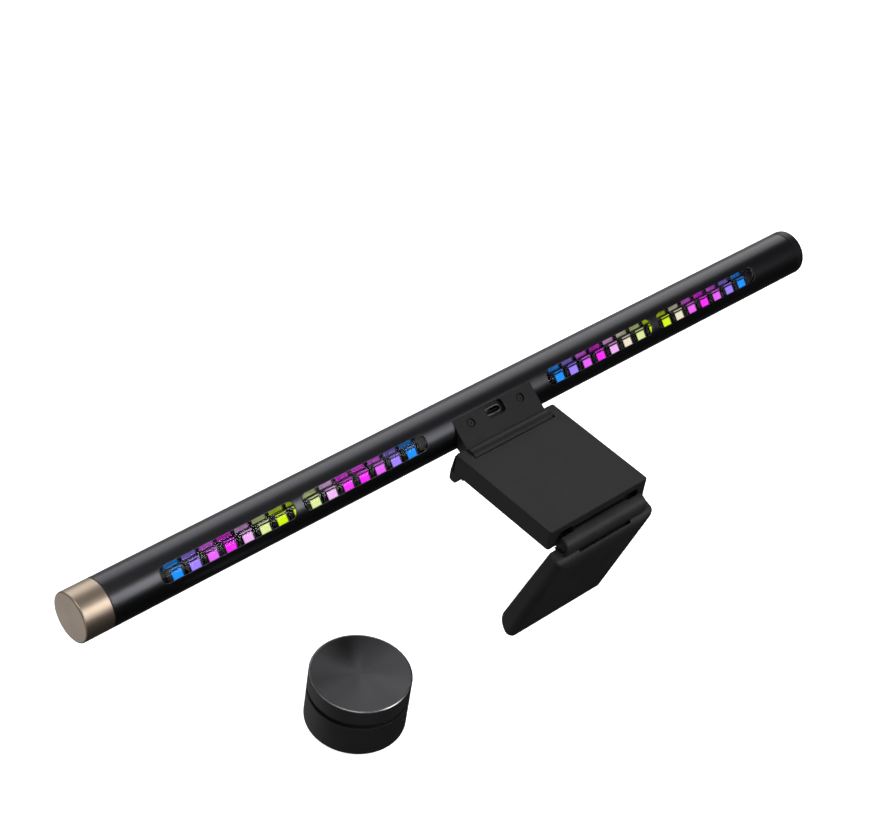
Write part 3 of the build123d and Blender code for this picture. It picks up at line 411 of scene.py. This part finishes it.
cast_weight = bright_steel("phosphated ballast steel", "4a4a4c", rough=0.55)
rubber = soft_rubber("black silicone", "141414")
green_board = circuit_board("green circuit board", "0c4020", copper="1a6a34")
black_board = circuit_board("black circuit board", "0b0d0c", copper="161a18")
white_board = circuit_board("white circuit board", "d8d8d2", copper="e8e6da")

FINISHES = {
    "lamp_tube": tube_metal, "end_cap_gold": gold_metal, "end_cap_black": cap_plastic, "cap_seals": rubber,
    "window_lenses": clear_cover("clear acrylic cover"), "front_diffuser": frosted_cover("frosted cover"),
    "white_led_board": white_board, "white_leds": frosted_cover("white LED lens"),
    "rgb_board_left": black_board, "rgb_board_right": black_board,
    "rgb_leds_left": colour_led("lit LEDs, left", 1, LEFT_COLOURS),
    "rgb_leds_right": colour_led("lit LEDs, right", -1, RIGHT_COLOURS),
    "rgb_reflector_left": lit_reflector("lit reflector, left", 1, LEFT_COLOURS),
    "rgb_reflector_right": lit_reflector("lit reflector, right", -1, RIGHT_COLOURS),
    "board_carrier_left": inner_plastic, "board_carrier_right": inner_plastic,
    "control_board": green_board, "control_chips": inner_plastic, "radio_module": green_board,
    "board_links": nickel, "usb_c_shell": socket_plate, "usb_c_tongue": inner_plastic,
    "mount_block": bracket_plastic, "block_screws": black_steel, "screw_anchors": nickel,
    "clamp_cover": clamp_plastic, "clamp_base": clamp_plastic, "rest_pad": rubber,
    "clamp_screws": black_steel, "ballast_weight": cast_weight, "front_hook": clamp_plastic,
    "hook_pad": rubber, "tilt_pin": steel, "tilt_washers": black_steel, "leg_pin": black_steel,
    "torsion_spring": steel, "leg_knuckle": knuckle_plastic, "leg_shell": leg_plastic,
    "leg_cover": leg_plastic, "leg_screws": black_steel, "leg_weight": cast_weight,
    "leg_grip_pad": rubber, "remote_housing": dial_plastic, "remote_cover": dial_plastic,
    "remote_foot": rubber, "remote_screws": black_steel, "remote_cell": nickel, "cell_contacts": nickel,
    "remote_board": green_board, "encoder_body": steel, "encoder_shaft": steel, "dial_hub": inner_plastic,
    "dial_ring": dial_side, "dial_disc": dial_top,
}
for node, material in FINISHES.items():
    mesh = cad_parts[node].data
    mesh.materials.clear()
    mesh.materials.append(material)


# ---- pieces that Geometry Nodes make ----
class Tree:
    """A geometry tree with named sizes, which ends in Realize Instances and Set Material."""

    def __init__(self, name, sizes):
        self.tree = bpy.data.node_groups.new(name, "GeometryNodeTree")
        self.sizes = sizes
        face = self.tree.interface
        for label in sizes:
            kind = "NodeSocketInt" if isinstance(sizes[label], int) else "NodeSocketFloat"
            face.new_socket(label, in_out="INPUT", socket_type=kind)
        face.new_socket("Geometry", in_out="OUTPUT", socket_type="NodeSocketGeometry")
        self.given = self.tree.nodes.new("NodeGroupInput").outputs

    def add(self, kind, inputs=None, **settings):
        """Add a node; inputs maps a socket's name or number to a value or another node's output."""
        node = self.tree.nodes.new(kind)
        for key, value in settings.items():
            setattr(node, key, value)
        for key, value in (inputs or {}).items():
            if isinstance(value, bpy.types.NodeSocket):
                self.tree.links.new(value, node.inputs[key])
            else:
                node.inputs[key].default_value = value
        return node.outputs[0]

    def piece(self, name, geometry, material, turn):
        """Finish the tree and give its result as a plain mesh object, set in place by a matrix."""
        real = self.add("GeometryNodeRealizeInstances", {0: geometry})
        done = self.add("GeometryNodeSetMaterial", {"Geometry": real, "Material": material})
        out = self.tree.nodes.new("NodeGroupOutput")
        self.tree.links.new(done, out.inputs[0])
        maker = link(name + " maker", bpy.data.meshes.new(name + " maker"))
        modifier = maker.modifiers.new("shape", "NODES")
        modifier.node_group = self.tree
        for socket in self.tree.interface.items_tree:
            if socket.in_out == "INPUT":
                modifier[socket.identifier] = self.sizes[socket.name]
        ready = maker.evaluated_get(bpy.context.evaluated_depsgraph_get())
        mesh = bpy.data.meshes.new_from_object(ready)
        bpy.data.objects.remove(maker)
        mesh.name = name
        mesh.transform(turn)
        solid = bmesh.new()
        solid.from_mesh(mesh)
        bmesh.ops.remove_doubles(solid, verts=solid.verts, dist=WELD)
        bmesh.ops.recalc_face_normals(solid, faces=solid.faces)
        solid.to_mesh(mesh)
        solid.free()
        return link(name, mesh)


def link(name, data):
    """A new object of this data, put in the scene."""
    thing = bpy.data.objects.new(name, data)
    bpy.context.scene.collection.objects.link(thing)
    return thing


def led_bezels(name, side, material):
    """A slim moulded frame round the face of each colour LED."""
    face = {"Length": LED_LENGTH + BEZEL, "Height": LED_HEIGHT + BEZEL}
    tree = Tree(name, {"Count": CELL_COUNT, "Pitch": CELL_PITCH} | face | {"Bar": BEZEL})
    given = tree.given
    step = tree.add("ShaderNodeCombineXYZ", {"X": given["Pitch"]})
    row = tree.add("GeometryNodeMeshLine", {"Count": given["Count"], "Offset": step})
    rectangle = "GeometryNodeCurvePrimitiveQuadrilateral"
    outline = tree.add(rectangle, {"Width": given["Length"], "Height": given["Height"]})
    bar = tree.add(rectangle, {"Width": given["Bar"], "Height": given["Bar"]})
    frame_mesh = tree.add("GeometryNodeCurveToMesh", {"Curve": outline, "Profile Curve": bar})
    copies = tree.add("GeometryNodeInstanceOnPoints", {"Points": row, "Instance": frame_mesh})
    up = Vector((0, -sin(WINDOW_ANGLE), cos(WINDOW_ANGLE)))
    out = Vector((0, cos(WINDOW_ANGLE), sin(WINDOW_ANGLE)))
    start_x = TUBE_MIDDLE + side * STRIP_MIDDLE - (CELL_COUNT - 1) / 2 * CELL_PITCH
    origin = Vector((start_x, TUBE_Y, TUBE_Z)) + out * (LED_FACE - BEZEL / 4) - up * LED_LOW
    turn = Matrix((Vector((1, 0, 0)), up, out)).transposed().to_4x4()
    piece = tree.piece(name, copies, material, Matrix.Translation(origin) @ turn)
    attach(piece, "lamp_head")


def coil_spring(name, material):
    """The torsion spring: closed turns of round wire about the leg's pin."""
    low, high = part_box("torsion_spring")
    outer = (high[2] - low[2]) / 2
    run = high[0] - low[0] - SPRING_WIRE
    sizes = {"Turns": int(run / SPRING_WIRE), "Radius": outer - SPRING_WIRE / 2, "Run": run}
    tree = Tree(name, sizes | {"Wire": WIRE_RADIUS})
    given = tree.given
    radii = {"Start Radius": given["Radius"], "End Radius": given["Radius"]}
    spiral = {"Resolution": TURN_STEPS, "Rotations": given["Turns"], "Height": given["Run"]}
    coil = tree.add("GeometryNodeCurveSpiral", spiral | radii)
    ring = tree.add("GeometryNodeCurvePrimitiveCircle", {"Resolution": WIRE_SIDES, "Radius": given["Wire"]})
    wire = tree.add("GeometryNodeCurveToMesh", {"Curve": coil, "Profile Curve": ring, "Fill Caps": True})
    smooth = tree.add("GeometryNodeSetShadeSmooth", {"Geometry": wire})
    start = Vector((low[0] + SPRING_WIRE / 2, (low[1] + high[1]) / 2, (low[2] + high[2]) / 2))
    turn = Matrix.Translation(start) @ Matrix.Rotation(pi / 2, 4, "Y")
    piece = tree.piece(name, smooth, material, turn)
    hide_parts("torsion_spring")
    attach(piece, "clamp")


def dial_edge(name, material):
    """The bright bevel cut round the top of the dial, spun from its small triangular section."""
    low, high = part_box("dial_ring")
    radius = (high[0] - low[0]) / 2
    solid = bmesh.new()
    corners = [solid.verts.new((DIAL[0] + (radius - inset), DIAL[1], high[2] + up)) for inset, up in DIAL_BEVEL]
    edges = [solid.edges.new((corners[i - 1], corners[i])) for i in (1, 2, 0)]
    spin = {"cent": (*DIAL, 0), "axis": (0, 0, 1), "angle": 2 * pi, "steps": DIAL_STEPS, "use_merge": True}
    bmesh.ops.spin(solid, geom=corners + edges, **spin)
    bmesh.ops.remove_doubles(solid, verts=solid.verts, dist=WELD)
    bmesh.ops.recalc_face_normals(solid, faces=solid.faces)
    mesh = bpy.data.meshes.new(name)
    solid.to_mesh(mesh)
    solid.free()
    mesh.materials.append(material)
    piece = link(name, mesh)
    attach(piece, "dial")


led_bezels("led_bezels_left", 1, inner_plastic)
led_bezels("led_bezels_right", -1, inner_plastic)
coil_spring("coil_spring", steel)
dial_edge("dial_edge", rim_metal)


# ---- floor, light and camera ----
def make_floor():
    """A plain pale floor under the desk dial."""
    mesh = bpy.data.meshes.new("floor")
    z = DESK_Z - FLOOR_GAP
    corners = [(x * FLOOR_HALF, y * FLOOR_HALF, z) for x, y in ((-1, -1), (1, -1), (1, 1), (-1, 1))]
    mesh.from_pydata(corners, [], [(0, 1, 2, 3)])
    m = Material("pale studio floor")
    m.set(Base_Color=linear("f6f6f6"), Roughness=0.9, Specular_IOR_Level=0.0)
    m.set(Emission_Color=linear("ffffff"), Emission_Strength=FLOOR_GLOW)
    floor = link("floor", mesh)
    mesh.materials.append(m.material)
    unseen_by_light(floor)


def make_backdrop():
    """A white dome that only the camera sees, so that every side has the same plain background."""
    solid = bmesh.new()
    bmesh.ops.create_icosphere(solid, subdivisions=4, radius=BACKDROP_RADIUS)
    bmesh.ops.reverse_faces(solid, faces=solid.faces)
    mesh = bpy.data.meshes.new("backdrop")
    solid.to_mesh(mesh)
    solid.free()
    m = Material("white backdrop")
    m.set(Base_Color=linear("000000"), Specular_IOR_Level=0.0)
    m.set(Emission_Color=linear("ffffff"), Emission_Strength=1.0)
    mesh.materials.append(m.material)
    backdrop = link("backdrop", mesh)
    unseen_by_light(backdrop)


def unseen_by_light(thing):
    """Keep a piece of the stage out of reflections, bounced light and shadows."""
    thing.visible_glossy = False
    thing.visible_diffuse = False
    thing.visible_shadow = False


def make_sky():
    """A dim studio, a little brighter on the person's side, overhead and to +X, so black pieces stay black."""
    world = bpy.data.worlds.new("studio")
    world.use_nodes = True
    tree = world.node_tree
    spot = tree.nodes.new("ShaderNodeTexCoord")
    split = tree.nodes.new("ShaderNodeSeparateXYZ")
    tree.links.new(spot.outputs["Generated"], split.inputs[0])
    brightness = SKY_BASE
    for axis, low, high, glow in SKY_RISES:
        spread = tree.nodes.new("ShaderNodeMapRange")
        tree.links.new(split.outputs[axis], spread.inputs["Value"])
        for name, value in (("From Min", low), ("From Max", high), ("To Min", 0.0), ("To Max", glow)):
            spread.inputs[name].default_value = value
        total = tree.nodes.new("ShaderNodeMath")
        tree.links.new(spread.outputs["Result"], total.inputs[0])
        if isinstance(brightness, float):
            total.inputs[1].default_value = brightness
        else:
            tree.links.new(brightness, total.inputs[1])
        brightness = total.outputs[0]
    tree.links.new(brightness, tree.nodes["Background"].inputs["Color"])
    tree.nodes["Background"].inputs["Strength"].default_value = 1.0
    bpy.context.scene.world = world


def soft_light(name, place, aim, width, height, power):
    """A rectangular light that the camera doesn't see; its power is in watts."""
    data = bpy.data.lights.new(name, "AREA")
    data.shape = "RECTANGLE"
    data.size = width
    data.size_y = height
    data.energy = power
    lamp = link(name, data)
    direction = Vector(aim) - Vector(place)
    turn = direction.to_track_quat("-Z", "Y").to_matrix().to_4x4()
    lamp.matrix_world = Matrix.Translation(place) @ turn
    lamp.visible_camera = False


def make_camera():
    """A long lens from above and behind, rolled a little."""
    data = bpy.data.cameras.new("camera")
    data.lens = LENS
    data.sensor_width = SENSOR_WIDTH
    data.sensor_fit = "HORIZONTAL"
    camera = link("camera", data)
    heading, tilt, roll = CAMERA_HEADING, CAMERA_TILT, CAMERA_ROLL
    ahead = Vector((cos(tilt) * cos(heading), cos(tilt) * sin(heading), -sin(tilt)))
    level = Vector((sin(heading), -cos(heading), 0))
    right = level * cos(roll) + level.cross(ahead) * sin(roll)
    turn = Matrix((right, right.cross(ahead), -ahead)).transposed().to_4x4()
    camera.matrix_world = Matrix.Translation(CAMERA_PLACE) @ turn
    bpy.context.scene.camera = camera


make_floor()
make_backdrop()
make_sky()
middle_of_bar = (0.0, TUBE_Y, TUBE_Z)
clamp_middle = (0.0, 0.0, 0.0)
soft_light("overhead softbox", (0.30, 0.05, 0.95), clamp_middle, width=0.6, height=0.5, power=4.0)
soft_light("front wall", (-0.65, -0.95, 0.62), (-0.25, TUBE_Y, TUBE_Z), width=1.6, height=1.0, power=12.0)
soft_light("rear softbox", (-0.33, 0.60, 0.51), middle_of_bar, width=0.45, height=0.62, power=3.6)
soft_light("rear strip", (-0.27, 0.60, 0.51), middle_of_bar, width=0.2, height=0.5, power=1.5)
soft_light("rear fill", (0.55, 0.78, 0.32), clamp_middle, width=0.5, height=0.4, power=2.6)
soft_light("end card", (0.62, -0.45, -0.40), (0.21, TUBE_Y, TUBE_Z), width=0.5, height=0.5, power=0.45)
make_camera()
bpy.context.scene.view_settings.view_transform = "Standard"
